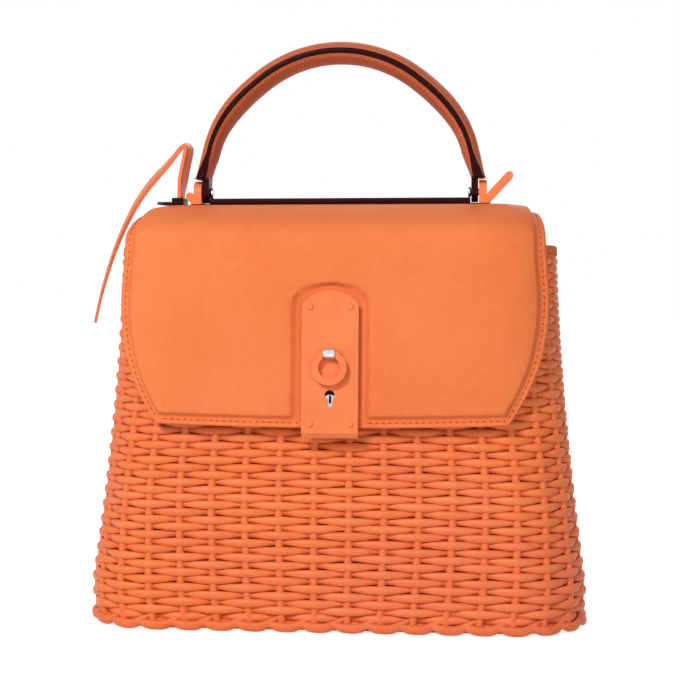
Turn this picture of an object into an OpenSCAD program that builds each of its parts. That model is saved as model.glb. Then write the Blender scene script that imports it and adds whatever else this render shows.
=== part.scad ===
// Top handle bag: a flared woven basket with a padded leather flap,
// an arched handle on two V lugs, a lock plate with a ring and a hanging strap.
// Millimetres. X is the width, -Y the front, Z up; the foot stands on z = 0.

/* [Basket] */
// Outer width at the foot
base_w = 295; // [250:1:330]
// Outer depth at the foot
base_d = 130; // [110:1:150]
// Outer width at the rim
rim_w = 255; // [230:1:300]
// Outer depth at the rim
rim_d = 94; // [80:1:110]
// Height of the rim over the floor
rim_h = 217; // [190:1:250]
// Corner radius at the foot
base_corner_r = 40; // [25:1:50]
// Corner radius at the rim
rim_corner_r = 34; // [20:1:40]
// How late the walls flare towards the foot
flare = 1.55; // [1:0.05:1.8]
// How far the wall draws in under its widest level
foot_tuck = 3.5; // [1:0.25:5]
// Thickness of the wall behind the mean weave surface
wall_t = 5; // [4:0.5:7]

/* [Weave] */
// Upright stakes round the basket, an even number
stakes = 40; // [32:2:44]
// Rows of weavers
weaver_rows = 48; // [36:1:50]
// How much wider the stakes stand apart in front than at the sides
stake_spread = 0.16; // [0:0.01:0.2]
// Height of a weaver's ridge over the mean wall
weave_relief = 2.2; // [1:0.1:2.6]

/* [Foot and rim] */
// Height of the braided foot border
foot_h = 10; // [8:0.5:14]
// Swing of the braid's bumps
braid_swing = 0.8; // [0.2:0.1:1.2]
// Thickness of the base panel
panel_t = 6; // [4:0.5:7]
// Thickness of the lining
lining_t = 1.6; // [1:0.1:2.5]
// Height of the rim binding
binding_h = 7; // [6:0.5:12]
// How far the binding stands out from the mean wall
binding_proud = 1.5; // [1:0.1:2]

/* [Flap] */
// Greatest width of the flap
flap_w = 242; // [210:1:250]
// Width of the flap at its back edge
flap_back_w = 228; // [200:1:236]
// Drop of the front panel under the top bend
flap_drop = 104; // [95:1:115]
// Height over the lower edge at which the side curve starts
flap_curve_h = 70; // [55:1:80]
// Radius of the side curve
flap_curve_r = 120; // [105:1:160]
// Rise of the arched top inside
dome_rise = 16; // [12:0.5:24]
// Thickness of the sewn margin
flap_t = 4; // [3:0.25:5]
// Rise of the padded middle over the margin
pad_rise = 3; // [2:0.25:4]
// Width of the sewn margin
flap_margin = 5; // [4:0.5:9]
// Width of the slope up to the padding
pad_slope = 4; // [3:0.5:7]
// Rise of the lower edge from its middle to its corners
flap_bow = 3; // [0:0.5:5]
// How far the side edges wrap back round the corners
flap_wrap = 8; // [4:0.5:9]

/* [Lock plate] */
// Width of the plate
plate_w = 31.6; // [28:0.2:36]
// Height of the plate
plate_h = 82; // [74:1:86]
// Thickness of the plate
plate_t = 2.4; // [1.8:0.1:3]
// Rise of its arched top
plate_arch = 7.8; // [6:0.2:10]
// How far it hangs below the flap
plate_hang = 5.5; // [5:0.25:7]
// Thickness of the backing under it
backing_t = 1.5; // [1.2:0.1:2]
// Outer radius of the ring
ring_r = 9.7; // [8.5:0.1:10.5]
// Radius of the ring's hole
ring_hole_r = 6.1; // [5:0.1:6.5]
// Thickness of the ring
ring_t = 3.4; // [3:0.1:3.8]

/* [Handle] */
// Radius of the handle's centre line
handle_r = 74.5; // [70:0.5:82]
// Width of the handle, front to back
handle_w = 24; // [20:0.5:28]
// Bulge of the leather on each side of the dark edge
handle_bulge = 5; // [4:0.25:6]
// How far the handle's legs spread at their ends
leg_spread = 4; // [0:0.5:6]
// Thickness of the dark edge
edge_t = 3; // [2:0.25:4]
// Height of the pivots over the top of the flap
pivot_h = 7; // [6.8:0.1:9]
// Thickness of a V lug's limbs
lug_t = 4.6; // [4:0.1:5.5]
// Length of the right lug's slanted limb
lug_limb = 22; // [12:0.5:23]
// Length of the left lug's slanted limb, beside the strap
short_limb = 6.5; // [5:0.5:7]
// Radius of the pivot pins
pin_r = 2; // [1.6:0.1:2.4]

/* [Strap] */
// Width of the strap
strap_w = 12; // [9:0.5:13]
// Thickness of the strap
strap_t = 2.6; // [2:0.1:3]

/* [Hidden] */
$fn = 64;

wicker_colour = [0.95, 0.45, 0.25];
leather_colour = [0.96, 0.48, 0.28];
edge_colour = [0.25, 0.05, 0.05];
enamel_colour = [0.97, 0.42, 0.2];
chrome_colour = [0.8, 0.8, 0.82];
cloth_colour = [0.7, 0.4, 0.3];

// Gap between pieces that are seated on each other
seat_gap = 0.3;
// Gap of a running fit, on the radius
run_gap = 0.05;

// Levels of the weave over the mean wall
stake_level = -0.5;
groove_level = -0.2;
tuck_h = 26;
wall_top = rim_h - binding_h;
row_pitch = (wall_top - foot_h)/weaver_rows;
wall_levels = [for (i = [0:7]) foot_h + (wall_top - foot_h)*i/7];
lining_out = -(wall_t + seat_gap);
lining_in = lining_out - lining_t;
lining_z = panel_t + seat_gap;

// Size of the basket's mean surface at a height
function flare_at(z) = pow(max(0, 1 - z/rim_h), flare);
function tuck_at(z) = foot_tuck*(1 - smooth(z/tuck_h));
function mean_w(z) = (rim_w + (base_w - rim_w)*flare_at(z))/2 - weave_relief - tuck_at(z);
function mean_d(z) = (rim_d + (base_d - rim_d)*flare_at(z))/2 - weave_relief - tuck_at(z);
function corner_at(z) = rim_corner_r + (base_corner_r - rim_corner_r)*flare_at(z);
function smooth(t) = let (c = max(0, min(1, t))) c*c*(3 - 2*c);
function mix(a, b, t) = a + (b - a)*t;

// Point and outward direction on a rounded rectangle at a share of its length,
// from the middle of the front towards +X
function arc_point(x, y, r, a) = [x + r*cos(a), y + r*sin(a), cos(a), sin(a)];
function outline(share, w, d, r) =
    let (
        a = w - r,
        b = d - r,
        q = PI*r/2,
        s = share*4*(a + b + q)
    )
    s < a ? [s, -d, 0, -1] :
    s < a + q ? arc_point(a, -b, r, 90*(s - a)/q - 90) :
    s < a + q + 2*b ? [w, s - a - q - b, 1, 0] :
    s < a + 2*q + 2*b ? arc_point(a, b, r, 90*(s - a - q - 2*b)/q) :
    s < 3*a + 2*q + 2*b ? [2*a + 2*q + 2*b - s, d, 0, 1] :
    s < 3*a + 3*q + 2*b ? arc_point(-a, b, r, 90 + 90*(s - 3*a - 2*q - 2*b)/q) :
    s < 3*a + 3*q + 4*b ? [-w, 3*a + 3*q + 3*b - s, -1, 0] :
    s < 3*a + 4*q + 4*b ? arc_point(-a, -b, r, 180 + 90*(s - 3*a - 3*q - 4*b)/q) :
    [s - 4*a - 4*q - 4*b, -d, 0, -1];
function wall_point(share, z, off) =
    let (p = outline(share, mean_w(z), mean_d(z), corner_at(z)))
    [p[0] + off*p[2], p[1] + off*p[3], z];
function wall_loop(z, off, n = stakes) = [for (k = [0:n - 1]) wall_point((k + 0.5)/n, z, off)];
function flat(loop) = [for (p = loop) [p[0], p[1]]];

// Solid between loops of points; each loop runs anticlockwise seen from its end.
// Its ends are closed round their middle, by strips across a thin loop, or into a ring
function loop_sides(n, m, turns) = [
    for (i = [0:turns - 1])
        for (k = [0:n - 1])
            let (
                a = i*n + k,
                b = i*n + (k + 1) % n,
                c = ((i + 1) % m)*n + (k + 1) % n,
                d = ((i + 1) % m)*n + k
            )
            each [[a, d, c], [a, c, b]]
];
function middle(loop) = [for (v = loop) 1]*loop/len(loop);
function fan_ends(n, m) = [
    for (k = [0:n - 1]) [n*m, k, (k + 1) % n],
    for (k = [0:n - 1]) [n*m + 1, (m - 1)*n + (k + 1) % n, (m - 1)*n + k]
];
function strip_ends(n, m) = [
    for (i = [0:n/2 - 2]) each [[i, i + 1, n - 2 - i], [i, n - 2 - i, n - 1 - i]],
    for (i = [0:n/2 - 2])
        let (f = (m - 1)*n)
        each [[f + n - 2 - i, f + i + 1, f + i], [f + n - 1 - i, f + n - 2 - i, f + i]]
];

module skin(loops, ends = "fan") {
    n = len(loops[0]);
    m = len(loops);
    sides = loop_sides(n, m, ends == "ring" ? m : m - 1);
    points = [for (l = loops) each l];
    if (ends == "ring")
        polyhedron(points = points, faces = sides, convexity = 10);
    else if (ends == "strip")
        polyhedron(points = points, faces = concat(sides, strip_ends(n, m)), convexity = 10);
    else
        polyhedron(
            points = concat(points, [middle(loops[0]), middle(loops[m - 1])]),
            faces = concat(sides, fan_ends(n, m)),
            convexity = 10
        );
}

// Basket

function weave_level(i, k) =
    i % 2 == 0 ? groove_level :
    ((i - 1)/2 + k) % 2 == 0 ? weave_relief : stake_level;
function spread_share(share, z) =
    share + stake_spread*smooth(z/90)*sin(720*share)/(4*PI);
function weave_loop(i) =
    let (z = foot_h + i*row_pitch/2)
    [for (k = [0:stakes - 1]) wall_point(spread_share((k + 0.5)/stakes, z), z, weave_level(i, k))];

module woven_basket() {
    outer = [for (i = [0:2*weaver_rows]) weave_loop(i)];
    inner = [for (i = [7:-1:0]) wall_loop(wall_levels[i], -wall_t)];
    color(wicker_colour) skin(concat(outer, inner), ends = "ring");
}

braid_n = 2*stakes;
function braid(k, side) = braid_swing*((k + side) % 2 == 0 ? 1 : -1);
function braid_loop(z, off, side) =
    [for (k = [0:braid_n - 1]) wall_point((k + 0.5)/braid_n, z, off + braid(k, side))];

module foot_border() {
    out = weave_relief - braid_swing;
    color(wicker_colour) skin([
        wall_loop(0, 0, braid_n),
        braid_loop(0.3*foot_h, out, 0),
        braid_loop(0.7*foot_h, out, 1),
        wall_loop(foot_h, 0, braid_n),
        wall_loop(foot_h, -wall_t, braid_n),
        wall_loop(0, -wall_t, braid_n)
    ], ends = "ring");
}

module base_panel() {
    color(wicker_colour) linear_extrude(panel_t) polygon(flat(wall_loop(panel_t, lining_out)));
}

module lining() {
    outer = [wall_loop(lining_z, lining_out), for (z = wall_levels) wall_loop(z, lining_out)];
    inner = [
        for (i = [7:-1:0]) wall_loop(wall_levels[i], lining_in),
        wall_loop(lining_z + lining_t, lining_in)
    ];
    color(cloth_colour) skin(concat(outer, inner));
}

module rim_binding() {
    color(leather_colour) translate([0, 0, wall_top]) linear_extrude(binding_h) difference() {
        polygon(flat(wall_loop(wall_top, binding_proud)));
        polygon(flat(wall_loop(wall_top, lining_in - 0.8)));
    }
}

// Flap: an arched top from the hinge to the front bend, then a straight front panel

rim_gap = 1.5;
spring_z = rim_h + 2;
flap_low = spring_z - flap_drop;
dome_a = mean_d(wall_top) + binding_proud + rim_gap;
catch_t = 2;
snap_t = 1.8;
snap_gap = 0.4;
catch_seat = 0.5;
front_low = mean_d(flap_low) + weave_relief + catch_seat + catch_t + snap_gap + snap_t;
lean = atan((front_low - dome_a)/flap_drop);
flap_top = spring_z + dome_rise + flap_t + pad_rise;
// Angle before the half turn at which the arched top runs into the front panel
bend_end = atan(tan(lean)*dome_rise/dome_a);
curve_z = flap_low + flap_curve_h;

// Recess round the lock plate
recess_edge = 2.8;
recess_half = plate_w/2 + recess_edge;
recess_slope = 4.5;
plate_top = flap_low + (plate_h - plate_hang)*cos(lean);
arch_z = plate_top - plate_arch;
recess_top = arch_z + plate_arch + recess_edge;

// A row of the flap: inner point and outward direction in YZ, half width,
// distance from the nearer end edge, height in front (0 on the arched top)
function front_half(z) =
    z > curve_z
        ? mix(flap_w/2, flap_w/2 - 2, smooth((z - curve_z)/(spring_z - curve_z)))
        : flap_w/2 - flap_curve_r + sqrt(pow(flap_curve_r, 2) - pow(curve_z - z, 2));
function dome_row(a) = [
    [dome_a*cos(a), spring_z + dome_rise*sin(a)],
    [cos(a), sin(a)],
    mix(flap_back_w/2, flap_w/2 - 2, smooth(a/180)),
    0.8*dome_a*a*PI/180,
    0,
    (1 - cos(a))/2
];
function front_row(z) = [
    [-dome_a - (spring_z - z)*tan(lean), z],
    [-1, 0],
    front_half(z),
    z - flap_low,
    z,
    1
];
pad_low = flap_low + flap_margin + pad_slope;
front_heights = [
    mix(spring_z, recess_top + recess_slope, 0.5),
    recess_top + recess_slope,
    recess_top + recess_slope/2,
    recess_top,
    mix(recess_top, arch_z, 0.5),
    for (i = [0:4]) mix(arch_z, pad_low, i/5),
    pad_low,
    pad_low - pad_slope/2,
    flap_low + flap_margin,
    flap_low
];
flap_rows = [
    for (a = [0:15:165]) dome_row(a),
    dome_row(180 - bend_end),
    for (z = front_heights) front_row(z)
];

wrap_from = rim_w/2 - rim_corner_r - weave_relief;
bow_reach = 45;
function wrap_at(x) =
    flap_wrap*pow(max(0, abs(x) - wrap_from)/(flap_w/2 - wrap_from), 2);
function recess_dist(x, z) =
    z == 0 ? recess_slope :
    z > arch_z
        ? recess_half*(norm([x/recess_half, (z - arch_z)/(recess_top - arch_z)]) - 1)
        : abs(x) - recess_half;
function pad_at(x, row) =
    pad_rise
    *smooth((min(row[2] - abs(x), row[3]) - flap_margin)/pad_slope)
    *smooth(recess_dist(x, row[4])/recess_slope);
function bow_at(x, row) =
    row[4] == 0 ? 0 : flap_bow*pow(2*x/flap_w, 2)*smooth(1 - row[3]/bow_reach);
function flap_point(x, row, off) =
    let (o = off - wrap_at(x)*row[5])
    [x, row[0][0] + row[1][0]*o, row[0][1] + row[1][1]*o + bow_at(x, row)];
function flap_columns(half) =
    let (
        a = recess_half + recess_slope,
        b = half - flap_margin - pad_slope,
        right = [
            recess_half*0.6, recess_half, recess_half + recess_slope/2, a,
            mix(a, b, 0.25), mix(a, b, 0.5), mix(a, b, 0.75), b,
            b + pad_slope/2, half - flap_margin, half
        ]
    )
    [for (i = [10:-1:0]) -right[i], 0, each right];
function flap_loop(row) =
    let (
        xs = flap_columns(row[2]),
        n = len(xs)
    )
    [
        for (x = xs) flap_point(x, row, 0),
        for (i = [n - 1:-1:0]) flap_point(xs[i], row, flap_t + pad_at(xs[i], row))
    ];

module flap() {
    color(leather_colour) skin([for (row = flap_rows) flap_loop(row)], ends = "strip");
}

// Hinge at the back edge of the flap
fold_r = 2;
hinge_y = dome_a + flap_t/2;
hinge_z = spring_z - fold_r - seat_gap;

module hinge_fold() {
    color(leather_colour) translate([0, hinge_y, hinge_z]) rotate([0, 90, 0])
        cylinder(r = fold_r, h = flap_back_w - 16, center = true);
}

yoke_h = 42;
yoke_t = 2.2;
yoke_top = hinge_z - 3.4;
yoke_in_top = mean_d(yoke_top) + weave_relief + seat_gap;
yoke_in_low = mean_d(yoke_top - yoke_h) + weave_relief + seat_gap;
yoke_lean = atan((yoke_in_low - yoke_in_top)/yoke_h);

module back_yoke() {
    half = flap_back_w/2 - 12;
    r = 14;
    shape = concat(
        [[half, 0], [-half, 0]],
        [for (a = [180:15:270]) [-half + r + r*cos(a), -yoke_h + r + r*sin(a)]],
        [for (a = [270:15:360]) [half - r + r*cos(a), -yoke_h + r + r*sin(a)]]
    );
    color(leather_colour) translate([0, yoke_in_top, yoke_top]) rotate([90 + yoke_lean, 0, 0])
        translate([0, 0, -yoke_t]) linear_extrude(yoke_t) polygon(shape);
}

// Lock plate: local x across, y up the front panel from the flap's edge, z outwards

plate_z = seat_gap + backing_t;
plate_face = plate_z + plate_t;
plate_low = -plate_hang;
rivet_x = 11.1;
rivet_low = plate_low + 7.8;
rivet_high = plate_low + plate_h - 9;
ring_y = plate_low + 38.8;
bar_r = ring_t/2;
bar_y = ring_y + ring_r - bar_r - 0.1;
barrel_r = bar_r + 1.2;
bar_z = plate_face + barrel_r;
lock_y = plate_low + 23.8;
key_r = 2.8;
key_slot = 3;
key_drop = 6.6;
plug_r = 4;
plug_y = lock_y - 4.6;
staple_w = 6.3;

module on_front() {
    translate([0, -front_low - flap_t, flap_low]) rotate([90 - lean, 0, 0]) children();
}

function arch_shape(half, low, high, rise) =
    let (
        r = (half*half + rise*rise)/(2*rise),
        sweep = asin(half/r)
    )
    concat(
        [[-half, low], [half, low]],
        [for (i = [0:16]) let (a = mix(sweep, -sweep, i/16)) [r*sin(a), high - r + r*cos(a)]]
    );

module keyhole() {
    translate([0, lock_y]) circle(key_r);
    translate([-key_slot/2, lock_y - key_drop]) square([key_slot, key_drop]);
}

module at_rivets() {
    for (x = [-rivet_x, rivet_x])
        for (y = [rivet_low, rivet_high])
            translate([x, y]) children();
}

// The plate's foot slopes back to the lip that hooks under the flap's edge
lip_t = 2.2;
lip_slope = 2.8;
lip_cut = 2.2;

module lock_plate() {
    color(enamel_colour) on_front() difference() {
        union() {
            translate([0, 0, plate_z]) linear_extrude(plate_t) difference() {
                polygon(arch_shape(plate_w/2, plate_low, plate_low + plate_h, plate_arch));
                keyhole();
                at_rivets() circle(1.2);
            }
            translate([-plate_w/2, plate_low, 1 - flap_t]) cube([plate_w, lip_t, flap_t - 1 + plate_z]);
        }
        translate([-plate_w, 0, 0]) rotate([90, 0, 90]) linear_extrude(2*plate_w) polygon([
            [plate_low - lip_slope, plate_face - 2*lip_cut],
            [plate_low + 2*lip_slope, plate_face + lip_cut],
            [plate_low - lip_slope, plate_face + lip_cut]
        ]);
    }
}

module lock_backing() {
    color(edge_colour) on_front() translate([0, 0, seat_gap]) linear_extrude(backing_t) difference() {
        polygon(arch_shape(plate_w/2 - 2, 1, plate_low + plate_h - 2, plate_arch - 1));
        translate([0, plug_y]) circle(plug_r + 1 + run_gap);
    }
}

module lock_plug() {
    color(chrome_colour) on_front() translate([0, plug_y, seat_gap + 0.1]) difference() {
        cylinder(r = plug_r + 1, h = backing_t - 0.2);
        translate([-0.6, 0.2, 0.6]) cube([1.2, 4, backing_t]);
    }
}

module plate_rivets() {
    color(enamel_colour) on_front() at_rivets() {
        translate([0, 0, plate_z]) cylinder(r = 1.2, h = plate_t);
        translate([0, 0, plate_face]) cylinder(r = 1.8, h = 0.9);
    }
}

module ring_staple() {
    color(chrome_colour) on_front() difference() {
        union() {
            translate([0, bar_y, bar_z]) rotate([0, 90, 0])
                cylinder(r = barrel_r, h = staple_w, center = true);
            translate([-staple_w/2, bar_y - bar_r - 0.5, plate_face])
                cube([staple_w, 2*bar_r + 1, bar_z - plate_face]);
        }
        translate([0, bar_y, bar_z]) rotate([0, 90, 0])
            cylinder(r = bar_r + run_gap, h = 2*staple_w, center = true);
    }
}

module clasp_ring() {
    gap_half = staple_w/2 + 0.35;
    color(enamel_colour) on_front() {
        difference() {
            translate([0, ring_y, bar_z - ring_t/2]) cylinder(r = ring_r, h = ring_t);
            translate([0, ring_y, 0]) cylinder(r = ring_hole_r, h = 40);
            translate([-ring_r, bar_y, 0]) cube([2*ring_r, ring_r, 40]);
            translate([-gap_half, ring_y, 0]) cube([2*gap_half, 2*ring_r, 40]);
        }
        translate([0, bar_y, bar_z]) rotate([0, 90, 0])
            cylinder(r = bar_r, h = 2*sqrt(pow(ring_r, 2) - pow(bar_y - ring_y, 2)) - 0.2, center = true);
    }
}

// Hidden snap: one disc inside the flap, one on the basket
snap_y = 11;

module snap_disc() {
    color(chrome_colour) on_front() translate([0, snap_y, -flap_t*cos(lean) - snap_t])
        cylinder(r = 7, h = snap_t);
}

module catch_disc() {
    color(chrome_colour) on_front()
        translate([0, snap_y, -flap_t*cos(lean) - snap_t - snap_gap - catch_t]) {
            cylinder(r = 12, h = catch_t/2);
            cylinder(r = 8, h = catch_t);
        }
}

// Fittings on top of the flap

seat_z = flap_top + seat_gap;
pivot_z = flap_top + pivot_h;
strip_half = 8;
strip_t = 3.6;
tongue_t = 4;
tongue_r = 6;
bore_past = 5;
tongue_x = handle_r + leg_spread - 1.1;
lug_x = tongue_x + tongue_t + 0.5;
ear_r = 7;
lug_foot = 1.2;
lug_angle = 47;
limb_dir = [cos(lug_angle), sin(lug_angle)];
limb_side = [-sin(lug_angle), cos(lug_angle)];
limb_start = [lug_x + lug_t + lug_foot, seat_z];
tab_t = 1.8;
sleeve_x = [limb_start[0] + 4.9, limb_start[0] + 11.7];
sleeve_h = 4.2;
pin_head_x = tongue_x - 1.8;

// Height of the arched top under a strip, at a distance from the ridge
function ridge_z(y) =
    let (
        o = flap_t + pad_rise + seat_gap,
        y1 = (dome_a + o)*cos(75),
        z1 = spring_z + (dome_rise + o)*sin(75)
    )
    mix(seat_z, z1, abs(y)/y1);

module ridge_strip(plan, t = strip_t) {
    z1 = ridge_z(strip_half);
    profile = [
        [-strip_half, z1], [0, seat_z], [strip_half, z1],
        [strip_half, z1 + t], [0, seat_z + t], [-strip_half, z1 + t]
    ];
    intersection() {
        translate([-flap_w, 0, 0]) rotate([90, 0, 90]) linear_extrude(2*flap_w) polygon(profile);
        linear_extrude(flap_top + 40) polygon(plan);
    }
}

module top_strip() {
    x = pin_head_x - 0.8;
    w = strip_half + 1;
    color(edge_colour) ridge_strip([[-x, -w], [x, -w], [x, w], [-x, w]]);
}

module left_side_tab() {
    x = sleeve_x[1] + seat_gap;
    tip = flap_w/2 - 11;
    mid = mix(x, tip, 0.4);
    w = strip_half + 1;
    color(edge_colour) mirror([1, 0, 0])
        ridge_strip([[x, -w], [mid, -w], [tip, 0], [mid, w], [x, w]], tab_t);
}

module lug(limb) {
    tip_r = lug_t/2;
    tip = limb_start + (limb - tip_r)*limb_dir + tip_r*limb_side;
    tip_arc = [for (a = [-90:15:90]) tip + tip_r*(cos(a)*limb_dir + sin(a)*limb_side)];
    root = limb_start + lug_t*limb_side;
    crotch = root[1] + (lug_x + lug_t - root[0])*tan(lug_angle);
    difference() {
        union() {
            translate([0, ear_r, 0]) rotate([90, 0, 0]) linear_extrude(2*ear_r) polygon(concat(
                [[lug_x, seat_z], limb_start],
                tip_arc,
                [[lug_x + lug_t, crotch], [lug_x, crotch]]
            ));
            translate([lug_x, -ear_r, seat_z]) cube([lug_t, 2*ear_r, pivot_z - seat_z]);
            translate([lug_x, 0, pivot_z]) rotate([0, 90, 0]) cylinder(r = ear_r, h = lug_t);
        }
        translate([lug_x - 1, 0, pivot_z]) rotate([0, 90, 0]) cylinder(r = pin_r, h = lug_t + 2);
    }
}

module right_lug() {
    color(enamel_colour) lug(lug_limb);
}

module left_lug() {
    color(enamel_colour) mirror([1, 0, 0]) lug(short_limb);
}

module pivot_pin() {
    translate([pin_head_x, 0, pivot_z]) rotate([0, 90, 0]) {
        cylinder(r = pin_r + 1.2, h = 1.5);
        cylinder(r = pin_r, h = lug_x + lug_t - pin_head_x);
    }
}

module right_pivot_pin() {
    color(chrome_colour) pivot_pin();
}

module left_pivot_pin() {
    color(chrome_colour) mirror([1, 0, 0]) pivot_pin();
}

// Strap: a sleeve on the ridge outside the left lug, and the strap that stands in it,
// folds over and hangs at the side
strap_x = (sleeve_x[0] + sleeve_x[1])/2 - 0.6;

module strap_sleeve() {
    w = strip_half + 1;
    hole_x = strap_t/2 + seat_gap;
    hole_y = strap_w/2 + seat_gap;
    color(edge_colour) mirror([1, 0, 0]) difference() {
        ridge_strip([[sleeve_x[0], -w], [sleeve_x[1], -w], [sleeve_x[1], w], [sleeve_x[0], w]], sleeve_h);
        translate([strap_x - hole_x, -hole_y, seat_z - 10]) cube([2*hole_x, 2*hole_y, 40]);
    }
}

// Centre line of the strap from its root in the sleeve: outwards and up from the root
strap_root = [strap_x, seat_z + 0.2];
strap_route = [
    [0, 0], [-0.1, 4.6], [-0.6, 10], [-1.4, 15.4], [-2.5, 21], [-3.7, 26.6], [-4.6, 31.2], [-4.5, 33.6],
    [-2.8, 35], [-0.4, 33.8], [2.7, 30], [7.2, 24.6], [13, 18.4], [19.2, 11.4], [25.2, 3.2], [30.8, -6.4],
    [36, -17], [40.6, -28.2], [44.6, -39.8], [48.2, -52], [50.8, -62.4], [52.6, -70.6]
];
strap_n = len(strap_route);
// Points at the top of the fold and where the tail has passed the flap's corner
strap_fold = 8;
strap_past = 16;
// How far the tip hangs outside the wider of the rim and the flap
strap_out = 20.5;
strap_drift = max(rim_w, flap_w)/2 + strap_out - strap_x - strap_route[strap_n - 1][0];
function strap_at(i) =
    strap_route[i] + [strap_drift*smooth((i - strap_fold)/(strap_past - strap_fold)), 0];
function strap_dir(i) =
    let (d = strap_at(min(strap_n - 1, i + 1)) - strap_at(max(0, i - 1)))
    d/norm(d);
function strap_taper(i) = 1 - 0.75*smooth((i - 12)/(strap_n - 13));
function strap_loop(i) =
    let (
        p = strap_root + strap_at(i),
        d = strap_dir(i),
        turn = -10*smooth((i - 1)/2) - 12*smooth((i - 8)/5),
        a = strap_t/2*mix(1, strap_taper(i), 0.6),
        b = strap_w/2*strap_taper(i),
        side = [d[1]*cos(turn), sin(turn), d[0]*cos(turn)],
        face = [-d[1]*sin(turn), cos(turn), -d[0]*sin(turn)],
        at = [-p[0], 0, p[1]]
    )
    [at - a*side - b*face, at + a*side - b*face, at + a*side + b*face, at - a*side + b*face];

module strap() {
    color(leather_colour) skin([for (i = [0:strap_n - 1]) strap_loop(i)]);
}

// Handle: an arch of two leather halves with the dark edge between them

arch_drop = 7.5;
handle_z = pivot_z + arch_drop;
end_angle = asin((ear_r + 16 - arch_drop)/handle_r);
handle_steps = 24;
end_scale = 0.8;
function handle_angle(i) = mix(end_angle, 180 - end_angle, i/handle_steps);
function from_end(a) = min(a - end_angle, 180 - end_angle - a);
function handle_scale(a) = mix(end_scale, 1, smooth(from_end(a)/28));
function arch_r(a) = handle_r + leg_spread*(1 - smooth(from_end(a)/40));
function handle_loop(a, section) =
    let (k = handle_scale(a))
    [
        for (p = section)
            let (r = arch_r(a) + p[0]*k)
            [r*cos(a), p[1]*k, handle_z + r*sin(a)]
    ];
outer_section = [
    for (t = [180:-30:0]) [edge_t/2 + handle_bulge*sin(t), handle_w/2*cos(t)]
];
inner_section = [
    for (t = [0:30:180]) [-edge_t/2 - handle_bulge*sin(t), handle_w/2*cos(t)]
];
edge_half = handle_w/2 + 0.5;
edge_section = [
    [-edge_t/2, -edge_half], [edge_t/2, -edge_half], [edge_t/2, edge_half], [-edge_t/2, edge_half]
];

module handle_sweep(section) {
    skin([for (i = [0:handle_steps]) handle_loop(handle_angle(i), section)]);
}

module handle_outer() {
    color(leather_colour) handle_sweep(outer_section);
}

module handle_edge() {
    color(edge_colour) handle_sweep(edge_section);
}

module handle_inner() {
    color(leather_colour) handle_sweep(inner_section);
}

module handle_end() {
    low = pivot_z + ear_r + 1.3;
    thick = end_scale*(edge_t/2 + handle_bulge);
    half = end_scale*handle_w/2;
    near = arch_r(end_angle) - thick;
    far = arch_r(end_angle) + thick;
    difference() {
        union() {
            translate([0, half, 0]) rotate([90, 0, 0]) linear_extrude(2*half) polygon([
                [tongue_x, low], [lug_x + lug_t - 0.6, low],
                [far*cos(end_angle), handle_z + far*sin(end_angle)],
                [near*cos(end_angle), handle_z + near*sin(end_angle)]
            ]);
            translate([tongue_x, -tongue_r, pivot_z]) cube([tongue_t, 2*tongue_r, low - pivot_z + 1]);
            translate([tongue_x, 0, pivot_z]) rotate([0, 90, 0]) cylinder(r = tongue_r, h = tongue_t);
        }
        translate([tongue_x - bore_past, 0, pivot_z]) rotate([0, 90, 0])
            cylinder(r = pin_r + run_gap, h = tongue_t + 2*bore_past);
    }
}

module right_handle_end() {
    color(edge_colour) handle_end();
}

module left_handle_end() {
    color(edge_colour) mirror([1, 0, 0]) handle_end();
}

woven_basket();
foot_border();
base_panel();
lining();
rim_binding();
back_yoke();
catch_disc();
flap();
hinge_fold();
lock_plate();
lock_backing();
plate_rivets();
ring_staple();
snap_disc();
top_strip();
left_side_tab();
left_lug();
right_lug();
left_pivot_pin();
right_pivot_pin();
strap_sleeve();
strap();
handle_outer();
handle_edge();
handle_inner();
left_handle_end();
right_handle_end();
clasp_ring();
lock_plug();
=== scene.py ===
import math
import random

import bpy
from mathutils import Matrix, Vector


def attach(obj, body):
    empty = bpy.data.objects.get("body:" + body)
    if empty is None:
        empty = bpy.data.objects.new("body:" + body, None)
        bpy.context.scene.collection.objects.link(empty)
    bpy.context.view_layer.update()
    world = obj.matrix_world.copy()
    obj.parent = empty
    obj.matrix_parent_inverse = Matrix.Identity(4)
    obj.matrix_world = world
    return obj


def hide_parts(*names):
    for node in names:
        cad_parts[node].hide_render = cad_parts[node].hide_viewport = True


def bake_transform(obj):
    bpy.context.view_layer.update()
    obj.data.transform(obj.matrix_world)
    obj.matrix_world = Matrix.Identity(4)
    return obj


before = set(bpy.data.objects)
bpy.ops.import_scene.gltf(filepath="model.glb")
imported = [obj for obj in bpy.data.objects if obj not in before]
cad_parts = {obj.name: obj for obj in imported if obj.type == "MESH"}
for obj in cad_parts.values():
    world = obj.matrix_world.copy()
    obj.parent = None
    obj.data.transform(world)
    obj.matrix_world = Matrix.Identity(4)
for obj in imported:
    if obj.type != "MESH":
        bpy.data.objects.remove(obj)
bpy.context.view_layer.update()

# Sizes are in millimetres, as the part's source has them, and MM makes them metres
MM = 0.001
MERGE_DISTANCE = 0.000002
draw = random.Random(11)

BASE_W, BASE_D, RIM_W, RIM_D, RIM_H = 295, 130, 255, 94, 217
BASE_CORNER, RIM_CORNER, FLARE = 40, 34, 1.55
FOOT_TUCK, TUCK_H, STAKE_SPREAD, SPREAD_H = 3.5, 26, 0.16, 90
STAKES, ROWS, RELIEF = 40, 48, 2.2
FOOT_H, WALL_TOP = 10, 210
ROW_PITCH = (WALL_TOP - FOOT_H) / ROWS


# Camera, first of all, at the photograph's view

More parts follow.
